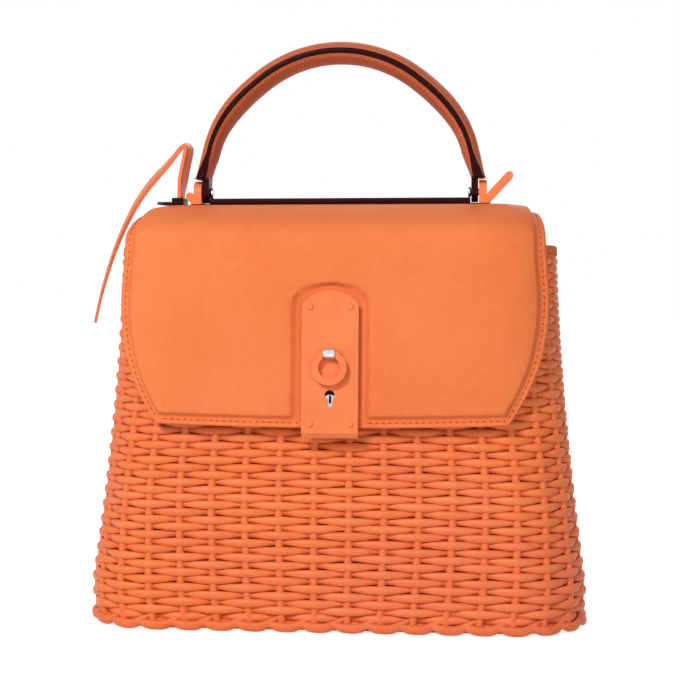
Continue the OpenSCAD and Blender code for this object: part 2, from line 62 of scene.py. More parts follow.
def aim_camera():
    middle = Vector((0, 0, 0.1618))
    turn, distance, eye = math.radians(5.2), 0.9, 0.195
    data = bpy.data.cameras.new("photo_camera")
    data.sensor_width = 36
    data.lens = 80.3
    data.clip_start, data.clip_end = 0.05, 50
    camera = bpy.data.objects.new("photo_camera", data)
    bpy.context.scene.collection.objects.link(camera)
    camera.location = (
        middle.x + distance * math.sin(turn), -distance * math.cos(turn), eye
    )
    camera.rotation_euler = (middle - camera.location).to_track_quat("-Z", "Y").to_euler()
    bpy.context.scene.camera = camera


aim_camera()


# Small helpers

def mix(a, b, t):
    return a + (b - a) * t


def smooth(t):
    t = max(0.0, min(1.0, t))
    return t * t * (3 - 2 * t)


def spaced(start, end, steps):
    return [mix(start, end, i / steps) for i in range(steps + 1)]


def deselect():
    if bpy.context.object and bpy.context.object.mode != "OBJECT":
        bpy.ops.object.mode_set(mode="OBJECT")
    bpy.ops.object.select_all(action="DESELECT")


def choose(obj):
    deselect()
    obj.select_set(True)
    bpy.context.view_layer.objects.active = obj


def apply_all(obj):
    choose(obj)
    for modifier in list(obj.modifiers):
        bpy.ops.object.modifier_apply(modifier=modifier.name)


def merge_and_face(obj, inside=False):
    """Merges double points and turns the faces outwards, or all inwards."""
    choose(obj)
    bpy.ops.object.mode_set(mode="EDIT")
    bpy.ops.mesh.select_all(action="SELECT")
    bpy.ops.mesh.remove_doubles(threshold=MERGE_DISTANCE)
    bpy.ops.mesh.normals_make_consistent(inside=inside)
    bpy.ops.object.mode_set(mode="OBJECT")


def soften_shading(obj, degrees=40):
    choose(obj)
    bpy.ops.object.shade_smooth_by_angle(angle=math.radians(degrees))


def even_flats(obj):
    """Keeps flat faces flat to the eye beside their rounded edges."""
    weighted = obj.modifiers.new("flat_faces", "WEIGHTED_NORMAL")
    weighted.weight = 100
    weighted.keep_sharp = True
    apply_all(obj)


def dress(obj, body, slot, materials, *nodes):
    """A piece's finishes and body, and the CAD nodes that it stands for; the slot argument is not used."""
    if obj.data.materials:
        obj.data.materials.clear()
    for material in materials:
        obj.data.materials.append(material)
    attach(obj, body)
    if nodes:
        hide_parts(*nodes)
    return obj


def formed_grid(name, rows, painted=()):
    """A grid primitive whose points are moved to rows of places; painted columns get the second finish."""
    along, across = len(rows) - 1, len(rows[0]) - 1
    deselect()
    bpy.ops.mesh.primitive_grid_add(x_subdivisions=across, y_subdivisions=along, size=1)
    obj = bpy.context.object
    obj.name = obj.data.name = name
    places = [c * MM for row in rows for point in row for c in point]
    obj.data.vertices.foreach_set("co", places)
    if painted:
        for face in obj.data.polygons:
            if face.index % across in painted:
                face.material_index = 1
    obj.location = (0, 0, 0)
    return obj


def formed_tube(name, rings, closed=False, painted=()):
    """Rings of places joined to a tube; an open tube draws in to the middle of its first and last ring."""
    rows = [list(ring) + [ring[0]] for ring in rings]
    if closed:
        rows.append(rows[0])
    else:
        for end in (0, -1):
            n = len(rings[end])
            centre = [sum(p[c] for p in rings[end]) / n for c in range(3)]
            rows.insert(0 if end == 0 else len(rows), [centre] * (n + 1))
    obj = formed_grid(name, rows, painted)
    merge_and_face(obj)
    soften_shading(obj)
    return obj


def solid_copy(node, name):
    """A CAD node's solid with its loose triangles merged to whole faces."""
    obj = bpy.data.objects.new(name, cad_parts[node].data.copy())
    obj.data.name = name
    bpy.context.scene.collection.objects.link(obj)
    choose(obj)
    bpy.ops.object.mode_set(mode="EDIT")
    bpy.ops.mesh.select_all(action="SELECT")
    bpy.ops.mesh.remove_doubles(threshold=MERGE_DISTANCE)
    bpy.ops.mesh.dissolve_limited(angle_limit=math.radians(1))
    bpy.ops.object.mode_set(mode="OBJECT")
    return obj


def round_edges(obj, width, segments=2, weights=False):
    """Rounds the edges that turn by more than a slight bend, or those that carry a weight."""
    slight_bend = 30
    bevel = obj.modifiers.new("rounded_edges", "BEVEL")
    bevel.width = width * MM
    bevel.segments = segments
    bevel.limit_method = "WEIGHT" if weights else "ANGLE"
    bevel.angle_limit = math.radians(slight_bend)
    bevel.miter_outer = "MITER_ARC"
    apply_all(obj)
    soften_shading(obj, 50)
    even_flats(obj)


def softened_copy(node, name, width):
    obj = solid_copy(node, name)
    round_edges(obj, width)
    return obj


def strands(name, runs, closed, section=None, round_r=0, twist="Z_UP", caps=False):
    """Curves through runs of (place, thickness share), swept with a section and made one mesh."""
    data = bpy.data.curves.new(name, "CURVE")
    data.dimensions = "3D"
    data.twist_mode = twist
    data.use_fill_caps = caps
    for run in runs:
        spline = data.splines.new("POLY")
        spline.points.add(len(run) - 1)
        spline.use_cyclic_u = closed
        for point, (place, share) in zip(spline.points, run):
            point.co = [*(c * MM for c in place), 1]
            point.radius = share
    shape = None
    if section:
        outline_data = bpy.data.curves.new(name + "_section", "CURVE")
        outline_data.dimensions = "2D"
        outline_spline = outline_data.splines.new("POLY")
        outline_spline.points.add(len(section) - 1)
        outline_spline.use_cyclic_u = True
        for point, (x, y) in zip(outline_spline.points, section):
            point.co = (x * MM, y * MM, 0, 1)
        shape = bpy.data.objects.new(name + "_section", outline_data)
        bpy.context.scene.collection.objects.link(shape)
        data.bevel_mode = "OBJECT"
        data.bevel_object = shape
    else:
        data.bevel_mode = "ROUND"
        data.bevel_depth = round_r * MM
        data.bevel_resolution = 2
    obj = bpy.data.objects.new(name, data)
    bpy.context.scene.collection.objects.link(obj)
    choose(obj)
    bpy.ops.object.convert(target="MESH")
    obj = bpy.context.object
    if shape:
        bpy.data.objects.remove(shape)
    choose(obj)
    bpy.ops.object.shade_smooth()
    return obj


def oval(half_x, half_y, sides):
    """A clockwise oval section."""
    return [
        (half_x * math.cos(-2 * math.pi * i / sides), half_y * math.sin(-2 * math.pi * i / sides))
        for i in range(sides)
    ]


def rounded_section(x0, x1, y0, y1, r, steps=3):
    """An anticlockwise rectangle with rounded corners."""
    corners = [(x1 - r, y0 + r, -90), (x1 - r, y1 - r, 0), (x0 + r, y1 - r, 90), (x0 + r, y0 + r, 180)]
    section = []
    for x, y, start in corners:
        for i in range(steps + 1):
            a = math.radians(start + 90 * i / steps)
            section.append((x + r * math.cos(a), y + r * math.sin(a)))
    return section


def catmull(points, u):
    """Smooth place along a route at u, counted in points."""
    i = min(int(u), len(points) - 2)
    t = u - i
    p = [points[max(0, min(len(points) - 1, i + k))] for k in (-1, 0, 1, 2)]
    return tuple(
        0.5 * (2 * b + (c - a) * t + (2 * a - 5 * b + 4 * c - d) * t * t + (3 * b - a - 3 * c + d) * t ** 3)
        for a, b, c, d in zip(*p)
    )


def add_shade(obj, values):
    """A tone from 0 to 1 at each point, which the finish reads."""
    attribute = obj.data.attributes.new("shade", "FLOAT", "POINT")
    attribute.data.foreach_set("value", values)


# Finishes

def finish_tree(name):
    material = bpy.data.materials.new(name)
    material.use_nodes = True
    tree = material.node_tree
    return material, tree, tree.nodes["Principled BSDF"]


def add_node(tree, kind, **values):
    node = tree.nodes.new("ShaderNode" + kind)
    for key, value in values.items():
        if key in node.inputs:
            node.inputs[key].default_value = value
        else:
            setattr(node, key, value)
    return node


def object_coords(tree):
    return tree.nodes.new("ShaderNodeTexCoord").outputs["Object"]


def noise(tree, vector, scale, detail=2.0):
    node = add_node(tree, "TexNoise", Scale=scale, Detail=detail)
    tree.links.new(vector, node.inputs["Vector"])
    return node.outputs["Fac"]


def ramp(tree, value, stops):
    node = add_node(tree, "ValToRGB")
    elements = node.color_ramp.elements
    while len(elements) < len(stops):
        elements.new(0.5)
    for element, (place, colour) in zip(elements, stops):
        element.position = place
        element.color = (*colour, 1)
    tree.links.new(value, node.inputs["Fac"])
    return node.outputs["Color"]


def map_range(tree, value, source, target, **settings):
    node = add_node(tree, "MapRange", **settings)
    for name, number in zip(("From Min", "From Max", "To Min", "To Max"), (*source, *target)):
        node.inputs[name].default_value = number
    tree.links.new(value, node.inputs["Value"])
    return node.outputs["Result"]


def spread(tree, value, low, high):
    """The usual range of a noise, drawn out from low to high."""
    return map_range(tree, value, (0.3, 0.7), (low, high))


def combine(tree, first, second, operation="ADD"):
    node = add_node(tree, "Math", operation=operation)
    for place, value in enumerate((first, second)):
        if isinstance(value, (int, float)):
            node.inputs[place].default_value = value
        else:
            tree.links.new(value, node.inputs[place])
    return node.outputs["Value"]


def blend_colours(tree, share, first, second):
    node = add_node(tree, "Mix", data_type="RGBA")
    tree.links.new(share, node.inputs["Factor"])
    tree.links.new(first, node.inputs["A"])
    tree.links.new(second, node.inputs["B"])
    return node.outputs["Result"]


def raise_surface(tree, shader, height, strength, depth):
    bump = add_node(tree, "Bump", Strength=strength, Distance=depth)
    tree.links.new(height, bump.inputs["Height"])
    tree.links.new(bump.outputs["Normal"], shader.inputs["Normal"])


def leather(name, dark, light, rough, grain=1100, strength=0.22, gloss=0.4):
    """Smooth calf: a fine pebble grain, a slow change of tone and an uneven sheen."""
    material, tree, shader = finish_tree(name)
    coords = object_coords(tree)
    fine_tone = combine(tree, noise(tree, coords, 210), 0.35, "MULTIPLY")
    tone = combine(tree, noise(tree, coords, 14, 3), fine_tone)
    tree.links.new(ramp(tree, tone, [(0.42, dark), (0.9, light)]), shader.inputs["Base Color"])
    sheen = spread(tree, noise(tree, coords, 90, 3), rough - 0.05, rough + 0.06)
    tree.links.new(sheen, shader.inputs["Roughness"])
    cells = add_node(tree, "TexVoronoi", Scale=grain, Randomness=0.9)
    tree.links.new(coords, cells.inputs["Vector"])
    height = combine(tree, cells.outputs["Distance"], noise(tree, coords, grain * 2.3))
    raise_surface(tree, shader, height, strength, 0.00025)
    shader.inputs["Specular IOR Level"].default_value = gloss
    return material


def painted_cane(name):
    """Lacquered cane: fibres along the strand, tone from strand to strand, darker where it dips as painted
    shade.
    """
    material, tree, shader = finish_tree(name)
    coords = object_coords(tree)
    shade = add_node(tree, "Attribute", attribute_name="shade")
    fine_tone = combine(tree, noise(tree, coords, 160, 3), 0.3, "MULTIPLY")
    tone = combine(tree, shade.outputs["Fac"], fine_tone)
    warm = ramp(tree, tone, [
        (0.1, (0.6, 0.082, 0.018)), (0.5, (0.88, 0.196, 0.044)), (1.0, (0.95, 0.27, 0.08)),
    ])
    rosy = ramp(tree, tone, [
        (0.1, (0.57, 0.076, 0.024)), (0.5, (0.85, 0.185, 0.064)), (1.0, (0.94, 0.26, 0.105)),
    ])
    patches = spread(tree, noise(tree, coords, 11, 2), 0, 1)
    tree.links.new(blend_colours(tree, patches, warm, rosy), shader.inputs["Base Color"])
    tree.links.new(spread(tree, noise(tree, coords, 240), 0.42, 0.56), shader.inputs["Roughness"])
    surface = tree.nodes.new("ShaderNodeUVMap")
    surface.uv_map = "UVMap"
    fibres = add_node(tree, "Mapping")
    fibres.inputs["Scale"].default_value = (900, 26, 1)
    tree.links.new(surface.outputs["UV"], fibres.inputs["Vector"])
    lines = noise(tree, fibres.outputs["Vector"], 1, 2)
    raise_surface(tree, shader, lines, 0.25, 0.0002)
    shader.inputs["Specular IOR Level"].default_value = 0.32
    return material


def lacquer(name, dark, light, rough, gloss):
    """Sprayed enamel or edge paint with a faint unevenness."""
    material, tree, shader = finish_tree(name)
    coords = object_coords(tree)
    colour = ramp(tree, noise(tree, coords, 60, 3), [(0.3, dark), (0.7, light)])
    tree.links.new(colour, shader.inputs["Base Color"])
    sheen = spread(tree, noise(tree, coords, 320), rough - 0.04, rough + 0.05)
    tree.links.new(sheen, shader.inputs["Roughness"])
    raise_surface(tree, shader, noise(tree, coords, 700, 3), 0.08, 0.00015)
    shader.inputs["Specular IOR Level"].default_value = gloss
    return material


def plated_metal(name):
    material, tree, shader = finish_tree(name)
    coords = object_coords(tree)
    tree.links.new(
        ramp(tree, noise(tree, coords, 120, 3), [(0.3, (0.5, 0.5, 0.51)), (0.7, (0.64, 0.64, 0.65))]),
        shader.inputs["Base Color"],
    )
    tree.links.new(spread(tree, noise(tree, coords, 500, 3), 0.1, 0.2), shader.inputs["Roughness"])
    shader.inputs["Metallic"].default_value = 1
    return material


def woven_cloth(name, dark, light):
    """Lining twill: threads both ways, seen as fine ribs."""
    material, tree, shader = finish_tree(name)
    coords = object_coords(tree)
    heights = []
    for direction in ("X", "Y", "Z"):
        wave = add_node(tree, "TexWave", Scale=420, Distortion=0.6)
        wave.bands_direction = direction
        tree.links.new(coords, wave.inputs["Vector"])
        heights.append(wave.outputs["Fac"])
    threads = combine(tree, combine(tree, heights[0], heights[1]), heights[2])
    colour = ramp(tree, noise(tree, coords, 45, 4), [(0.3, dark), (0.7, light)])
    tree.links.new(colour, shader.inputs["Base Color"])
    raise_surface(tree, shader, threads, 0.3, 0.0003)
    shader.inputs["Roughness"].default_value = 0.85
    shader.inputs["Sheen Weight"].default_value = 0.2
    return material


CALF = leather("orange_calf", (0.85, 0.196, 0.06), (0.93, 0.244, 0.085), 0.55, gloss=0.03)
SUEDE = leather("flap_lining_suede", (0.6, 0.13, 0.045), (0.72, 0.18, 0.07), 0.75, 1500, 0.5, 0.15)
# The handle's calf is a darker copy of the orange calf: painted shade for the handle's dimly lit faces
HANDLE_CALF_PAINTED_SHADE = leather(
    "handle_calf_painted_shade", (0.54, 0.12, 0.052), (0.64, 0.155, 0.066), 0.5, strength=0.1, gloss=0.06
)
STRAP_CALF = leather("strap_calf", (0.76, 0.17, 0.05), (0.86, 0.21, 0.07), 0.45)
THREAD = leather("orange_thread", (0.4, 0.055, 0.012), (0.52, 0.08, 0.02), 0.6, 2600, 0.4, 0.1)
PALE_THREAD = leather("pale_thread", (0.78, 0.24, 0.1), (0.86, 0.3, 0.14), 0.6, 2600, 0.4, 0.2)
CANE = painted_cane("orange_cane")
EDGE_PAINT = lacquer("burgundy_edge_paint", (0.016, 0.0012, 0.001), (0.032, 0.0025, 0.002), 0.3, 0.07)
ENAMEL = lacquer("orange_enamel", (0.86, 0.2, 0.055), (0.92, 0.226, 0.068), 0.42, 0.36)
CHROME = plated_metal("polished_chrome")
# The lining's dark red also serves as painted shade, seen through the weave's gaps
LINING = woven_cloth("lining_twill", (0.42, 0.07, 0.025), (0.52, 0.1, 0.04))


# Basket

def flare_at(z):
    return max(0.0, 1 - z / RIM_H) ** FLARE


def outline(share, w, d, r):
    """Place and outward direction on the basket's rounded outline, from the front middle towards +X."""
    a, b, q = w - r, d - r, math.pi * r / 2
    s = (share % 1) * 4 * (a + b + q)
    # A straight side has its start and direction, and a corner its centre and first angle
    sides = [
        (a, (0, -d, 1, 0)), (q, (a, -b, -90)), (2 * b, (w, -b, 0, 1)),
        (q, (a, b, 0)), (2 * a, (a, d, -1, 0)), (q, (-a, b, 90)),
        (2 * b, (-w, b, 0, -1)), (q, (-a, -b, 180)), (a, (-a, -d, 1, 0)),
    ]
    for length, side in sides:
        if s <= length:
            break
        s -= length
    if len(side) == 3:
        x, y, first_angle = side
        turn = math.radians(first_angle + 90 * s / length)
        c, n = math.cos(turn), math.sin(turn)
        return x + r * c, y + r * n, c, n
    x, y, dx, dy = side
    return x + dx * s, y + dy * s, dy, -dx


def wall_point(share, z, off):
    """A place off the basket's mean wall; the stakes stand wider apart in front."""
    share += STAKE_SPREAD * smooth(z / SPREAD_H) * math.sin(4 * math.pi * share) / (4 * math.pi)
    f = flare_at(z)
    inset = RELIEF + FOOT_TUCK * (1 - smooth(z / TUCK_H))
    w = mix(RIM_W, BASE_W, f) / 2 - inset
    d = mix(RIM_D, BASE_D, f) / 2 - inset
    x, y, nx, ny = outline(share, w, d, mix(RIM_CORNER, BASE_CORNER, f))
    return x + off * nx, y + off * ny, z


def weave():
    """Canes that swell where they pass over a stake and draw in where they dip behind it."""
    steps, sides = 6, 8
    half_depth, half_height, dip_half_height = 1.6, 2.65, 1.45
    mean_level, swing, step_back = -0.55, 1.05, 1.2
    # Each strand's tone is lowered where it dips behind a stake: painted shade
    palest, darkest, dip_painted_shade = 0.56, 0.36, 0.26
    slow_wander, quick_wander, swelling = 0.14, 0.1, 0.75
    rows_behind_braid = 2
    runs, shades = [], []
    for row in range(-rows_behind_braid, ROWS):
        z = FOOT_H + (row + 0.5) * ROW_PITCH
        level = mean_level - step_back * max(0, -row)
        strand_tone = draw.uniform(darkest, palest)
        run = []
        for i in range(STAKES * steps):
            t = i / steps
            over = math.cos(math.pi * (t - 0.5 + row))
            rise = slow_wander * math.sin(t * 0.7 + row * 1.9)
            rise += quick_wander * math.sin(t * 2.3 + row * 0.7)
            fullness = mix(dip_half_height, half_height, ((1 + over) / 2) ** swelling) / half_height
            run.append((wall_point(t / STAKES, z + rise, level + swing * over), fullness))
            shades += [strand_tone - dip_painted_shade * smooth(-over)] * sides
        runs.append(run)
    obj = strands("cane_weavers", runs, True, oval(half_depth, half_height, sides))
    add_shade(obj, shades)
    dress(obj, "basket", "wicker", [CANE], "woven_basket")


def upright_stakes():
    """Round canes that the weavers pass over and behind."""
    stake_r, off, shade = 2.45, -1.5, 0.36
    levels = spaced(4, WALL_TOP + 1, 30)
    runs = []
    for k in range(STAKES):
        runs.append([(wall_point((k + 0.5) / STAKES, z, off), 1) for z in levels])
    obj = strands("cane_stakes", runs, False, round_r=stake_r, twist="MINIMUM", caps=True)
    add_shade(obj, [shade] * len(obj.data.vertices))
    dress(obj, "basket", "wicker", [CANE])


# Places along one braided end: stakes from its own stake, height and distance off the wall
FOOT_ROUTE = [(-0.54, 5.2, 0.4), (-0.38, 4.5, 1), (-0.2, 3.7, 1.3), (0, 3.1, 1.3), (0.2, 2.9, 1.1),
              (0.38, 3.2, 0.8), (0.54, 4.3, 0.3), (0.7, 6, -0.1), (0.86, 7.8, -0.7), (1, 9.2, -1.5)]


def foot_braid():
    """Each stake's end dips under the foot and rises behind the next one."""
    # The braid's low tone is painted shade, for the dimmer light at the foot
    half_depth, half_height, sides, shade = 1.9, 2.75, 12, 0.3
    tip, swell_in, swell_out = 0.4, 0.45, 0.6
    first, last = FOOT_ROUTE[0][0], FOOT_ROUTE[-1][0]
    runs = []
    for k in range(STAKES):
        run = []
        for u in spaced(0, len(FOOT_ROUTE) - 1, 18):
            along, z, off = catmull(FOOT_ROUTE, u)
            share = mix(tip, 1, smooth(min((along - first) / swell_in, (last - along) / swell_out)))
            run.append((wall_point((k + 0.5 + along) / STAKES, z, off), share))
        runs.append(run)
    obj = strands("cane_foot_braid", runs, False, oval(half_depth, half_height, sides), caps=True)
    add_shade(obj, [shade] * len(obj.data.vertices))
    dress(obj, "basket", "wicker", [CANE], "foot_border")


weave()
upright_stakes()
foot_braid()


# The binding's faces, off the mean wall
BINDING_IN, BINDING_OUT = -7.6, 1.4


def rim_binding():
    """Leather folded over the rim."""
    around, edge_r = 200, 1.6
    section = rounded_section(BINDING_IN, BINDING_OUT, WALL_TOP, RIM_H, edge_r)
    rings = []
    for i in range(around):
        ring = []
        for off, z in section:
            x, y, _ = wall_point(i / around, WALL_TOP, off)
            ring.append((x, y, z))
        rings.append(ring)
    obj = formed_tube("rim_leather", rings, closed=True)
    dress(obj, "basket", "leather", [CALF], "rim_binding")


def lining_pouch():
    """Cloth walls that hang a little slack, and a floor."""
    around, wall_off, cloth_t, floor_z = 160, -7.1, 1.2, 8
    top, bend_z = 211, 12
    folds, deepest_fold, fold_top, fold_low = 17, 0.7, 208, 10
    floor_bend = [(9.2, -7.8), (8.1, -9.5)]
    floor_shares = (0.8, 0.55, 0.3, 0.1, 0)
    rows = []
    for z, off in [(z, wall_off) for z in spaced(top, bend_z, 24)] + floor_bend:
        slack = deepest_fold * smooth((fold_top - z) / 60) * smooth((z - fold_low) / 30)
        row = []
        for i in range(around + 1):
            s = (i % around) / around
            fold = math.sin(2 * folds * math.pi * s + 2.2 * math.sin(z / 31)) * math.sin(z / 23 + 5 * s)
            row.append(wall_point(s, z, off + slack * fold))
        rows.append(row)
    floor_edge = rows[-1]
    for share in floor_shares:
        rows.append([(x * share, y * share, floor_z) for x, y, _ in floor_edge])
    obj = formed_grid("lining_pouch", rows)
    merge_and_face(obj, inside=True)
    wall = obj.modifiers.new("cloth_thickness", "SOLIDIFY")
    wall.thickness = cloth_t * MM
    wall.offset = -1
    apply_all(obj)
    soften_shading(obj, 50)
    dress(obj, "basket", "lining_cloth", [LINING], "lining")


rim_binding()
lining_pouch()
dress(softened_copy("base_panel", "base_panel_leather", 1), "basket", "leather", [CALF], "base_panel")
dress(softened_copy("back_yoke", "back_yoke_leather", 0.6), "basket", "leather", [CALF], "back_yoke")
dress(softened_copy("catch_disc", "snap_catch", 0.35), "basket", "chrome", [CHROME], "catch_disc")


# Flap

FLAP_W, FLAP_BACK_W, FLAP_DROP, CURVE_H, CURVE_R = 242, 228, 104, 70, 120
DOME_RISE, FLAP_T, PAD_RISE, MARGIN, PAD_SLOPE, WRAP = 16, 4, 3, 4.3, 3.2, 8
# The flat dome's arc, as a share of a round one's
DOME_ARC = 0.8
FLAP_BOW, BOW_REACH, BEND_END = 3, 45, 1.72937
SPRING_Z, DOME_A, FRONT_LOW = 219, 47.8878, 57.2859
FLAP_LOW = SPRING_Z - FLAP_DROP
LEAN = math.atan((FRONT_LOW - DOME_A) / FLAP_DROP)
WRAP_FROM = RIM_W / 2 - RIM_CORNER - RELIEF
PLATE_W, PLATE_H, PLATE_HANG, PLATE_ARCH = 31.6, 82, 5.5, 7.8
RECESS_EDGE, RECESS_SLOPE = 2.8, 4.5
RECESS_HALF = PLATE_W / 2 + RECESS_EDGE
PLATE_TOP = FLAP_LOW + (PLATE_H - PLATE_HANG) * math.cos(LEAN)
ARCH_Z = PLATE_TOP - PLATE_ARCH
RECESS_TOP = PLATE_TOP + RECESS_EDGE
SEAM_IN, SEAM_DIP, SEAM_WIDTH = 2.9, 0.3, 0.9
# The flap narrows to this half width at its bend, and its front rows start at this level
BEND_HALF = FLAP_W / 2 - 2
FRONT_TOP = SPRING_Z - 2


def front_half(z):
    """Half the flap's width at a level of its front: near straight above, curved below."""
    curve_z = FLAP_LOW + CURVE_H
    if z > curve_z:
        return mix(FLAP_W / 2, BEND_HALF, smooth((z - curve_z) / (SPRING_Z - curve_z)))
    return FLAP_W / 2 - CURVE_R + math.sqrt(CURVE_R ** 2 - (curve_z - z) ** 2)


def dome_row(degrees):
    """A row across the flap's top, by its angle from the back edge."""
    a = math.radians(degrees)
    c, s = math.cos(a), math.sin(a)
    return {
        "at": (DOME_A * c, SPRING_Z + DOME_RISE * s), "out": (c, s),
        "half": mix(FLAP_BACK_W / 2, BEND_HALF, smooth(degrees / 180)),
        "end": DOME_ARC * DOME_A * a, "front_z": 0, "wrap": (1 - c) / 2,
    }


def front_row(z):
    """A row across the flap's front, by its level."""
    return {
        "at": (-DOME_A - (SPRING_Z - z) * math.tan(LEAN), z), "out": (-1, 0),
        "half": front_half(z), "end": z - FLAP_LOW, "front_z": z, "wrap": 1,
    }


def recess_distance(x, z):
    """Distance outside the recess round the lock plate, which only the front has."""
    if z == 0:
        return RECESS_SLOPE
    if z > ARCH_Z:
        return RECESS_HALF * (math.hypot(x / RECESS_HALF, (z - ARCH_Z) / (RECESS_TOP - ARCH_Z)) - 1)
    return abs(x) - RECESS_HALF


def pad_height(x, row):
    """Rise over the sewn margin, which draws in along its seam."""
    edge = min(row["half"] - abs(x), row["end"])
    pad = PAD_RISE * smooth((edge - MARGIN) / PAD_SLOPE)
    pad *= smooth(recess_distance(x, row["front_z"]) / RECESS_SLOPE)
    return pad - SEAM_DIP * math.exp(-((edge - SEAM_IN) / SEAM_WIDTH) ** 2)


def flap_point(x, row, off):
    """A place across a row, off the flap's inside; its sides bend back and its low edge rises to them."""
    wrap = WRAP * (max(0, abs(x) - WRAP_FROM) / (FLAP_W / 2 - WRAP_FROM)) ** 2
    o = off - wrap * row["wrap"]
    bow = 0
    if row["front_z"]:
        bow = FLAP_BOW * (2 * x / FLAP_W) ** 2 * smooth(1 - row["end"] / BOW_REACH)
    return x, row["at"][0] + row["out"][0] * o, row["at"][1] + row["out"][1] * o + bow


EDGE_ROUND = 0.6
PAD_LOW = FLAP_LOW + MARGIN + PAD_SLOPE
FRONT_LEVELS = spaced(FRONT_TOP, RECESS_TOP + RECESS_SLOPE, 9)
FRONT_LEVELS += spaced(RECESS_TOP + RECESS_SLOPE, ARCH_Z, 20)[1:]
FRONT_LEVELS += spaced(ARCH_Z, PAD_LOW, 26)[1:] + spaced(PAD_LOW, FLAP_LOW + EDGE_ROUND, 15)[1:]
FLAP_ROWS = [dome_row(d) for d in spaced(0, 180 - BEND_END, 60)] + [front_row(z) for z in FRONT_LEVELS]


def flap_columns(half):
    """Places across the flap: close together over the recess's slope, the pad's slope and the seam."""
    slope_end = RECESS_HALF + RECESS_SLOPE
    pad_end = half - MARGIN - PAD_SLOPE
    right = spaced(0, RECESS_HALF, 5)[1:] + spaced(RECESS_HALF, slope_end, 8)[1:]
    right += spaced(slope_end, pad_end, 18)[1:] + spaced(pad_end, half - EDGE_ROUND, 14)[1:]
    return [-x for x in reversed(right)] + [0] + right


def flap_ring(row, squeeze=None):
    """A closed section of the flap: the outside from left to right, then the inside back."""
    xs = flap_columns(row["half"])

    def level(off):
        if squeeze is None:
            return off
        return mix(FLAP_T / 2, min(max(off, EDGE_ROUND), FLAP_T - EDGE_ROUND), squeeze)

    outside = [flap_point(x, row, level(FLAP_T + pad_height(x, row))) for x in xs]
    inside = [flap_point(x, row, level(0)) for x in reversed(xs)]
    edges = []
    for side, offs in ((1, (FLAP_T - EDGE_ROUND, EDGE_ROUND)), (-1, (EDGE_ROUND, FLAP_T - EDGE_ROUND))):
        edges.append([flap_point(side * row["half"], row, level(off)) for off in offs])
    return outside + edges[0] + inside + edges[1]


def flap_panel():
    """The flap's closed form, calf outside and suede inside."""
    low = front_row(FLAP_LOW)
    rings = [flap_ring(FLAP_ROWS[0], 0), flap_ring(FLAP_ROWS[0], 1)]
    rings += [flap_ring(row) for row in FLAP_ROWS]
    rings += [flap_ring(low, 1), flap_ring(low, 0)]
    rows = [ring + [ring[0]] for ring in rings]
    across = len(flap_columns(FLAP_W / 2))
    obj = formed_grid("flap_leather", rows, painted=range(across + 2, 2 * across + 1))
    merge_and_face(obj)
    soften_shading(obj, 40)
    dress(obj, "flap", "leather", [CALF, SUEDE], "flap")


flap_panel()


# Hinge: a leather web between the yoke and the flap's back edge

def hinge_web():
    hinge_y, hinge_z = 49.8878, 216.7
    half = FLAP_BACK_W / 2 - 9
    sides, half_height = 24, 6.4
    roll_half_height, roll_half_depth, edge_half_depth = 3, 1.9, 1.2
    rings = []
    for x in spaced(-half, half, 40):
        ring = []
        for j in range(sides):
            a = 2 * math.pi * j / sides
            up = half_height * math.sin(a)
            half_depth = roll_half_depth if abs(up) < roll_half_height else edge_half_depth
            ring.append((x, hinge_y + half_depth * math.cos(a), hinge_z + up))
        rings.append(ring)
    obj = formed_tube("hinge_web", rings)
    obj.data.materials.clear()
    obj.data.materials.append(CALF)
    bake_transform(obj)
    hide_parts("hinge_fold")


hinge_web()


# Lock and fittings on the flap

for node, name, width, body, slot, finish in (
    ("lock_backing", "lock_plate_backing", 0.3, "flap", "edge_paint", EDGE_PAINT),
    ("plate_rivets", "plate_rivet_heads", 0.3, "flap", "enamel", ENAMEL),
    ("ring_staple", "ring_staple_chrome", 0.5, "flap", "chrome", CHROME),
    ("snap_disc", "snap_stud", 0.35, "flap", "chrome", CHROME),
    ("left_side_tab", "left_ridge_tab", 0.6, "flap", "edge_paint", EDGE_PAINT),
    ("left_lug", "left_v_lug", 0.9, "flap", "enamel", ENAMEL),
    ("right_lug", "right_v_lug", 0.9, "flap", "enamel", ENAMEL),
    ("left_pivot_pin", "left_pivot", 0.3, "flap", "chrome", CHROME),
    ("right_pivot_pin", "right_pivot", 0.3, "flap", "chrome", CHROME),
    ("strap_sleeve", "strap_loop_sleeve", 0.5, "flap", "edge_paint", EDGE_PAINT),
    ("clasp_ring", "clasp_ring_enamel", 0.7, "clasp_ring", "enamel", ENAMEL),
):
    dress(softened_copy(node, name, width), body, slot, [finish], node)


def ridge_strip():
    """The dark strip along the ridge, drawn out to the handle's feet."""
    reach, edge_r = 2.1, 0.9
    obj = softened_copy("top_strip", "ridge_strip", edge_r)
    half = max(vertex.co.x for vertex in obj.data.vertices)
    for vertex in obj.data.vertices:
        vertex.co.x *= 1 + reach * MM / half
    dress(obj, "flap", "edge_paint", [EDGE_PAINT], "top_strip")


def lug_bases():
    """Thin dark leather under each lug and handle foot."""
    inner, outer, thick, sunk = 73, 88.5, 0.55, 0.6
    back_edge, front_edge = 84, 96
    surface = FLAP_T + PAD_RISE
    rows = [dome_row(degrees) for degrees in spaced(back_edge, front_edge, 8)]
    for side, name in ((-1, "left_lug_base"), (1, "right_lug_base")):
        rings = []
        for x in spaced(inner, outer, 10):
            ring = [flap_point(side * x, row, surface + thick) for row in rows]
            ring += [flap_point(side * x, row, surface - sunk) for row in reversed(rows)]
            rings.append(ring)
        obj = formed_tube(name, rings)
        dress(obj, "flap", "edge_paint", [EDGE_PAINT])


ridge_strip()
lug_bases()


def on_plate(point):
    """Place on the lock plate: across, up from the flap's edge and out from its leather."""
    y = point.y / MM + FRONT_LOW + FLAP_T
    z = point.z / MM - FLAP_LOW
    c, s = math.cos(LEAN), math.sin(LEAN)
    return point.x / MM, y * s + z * c, -y * c + z * s


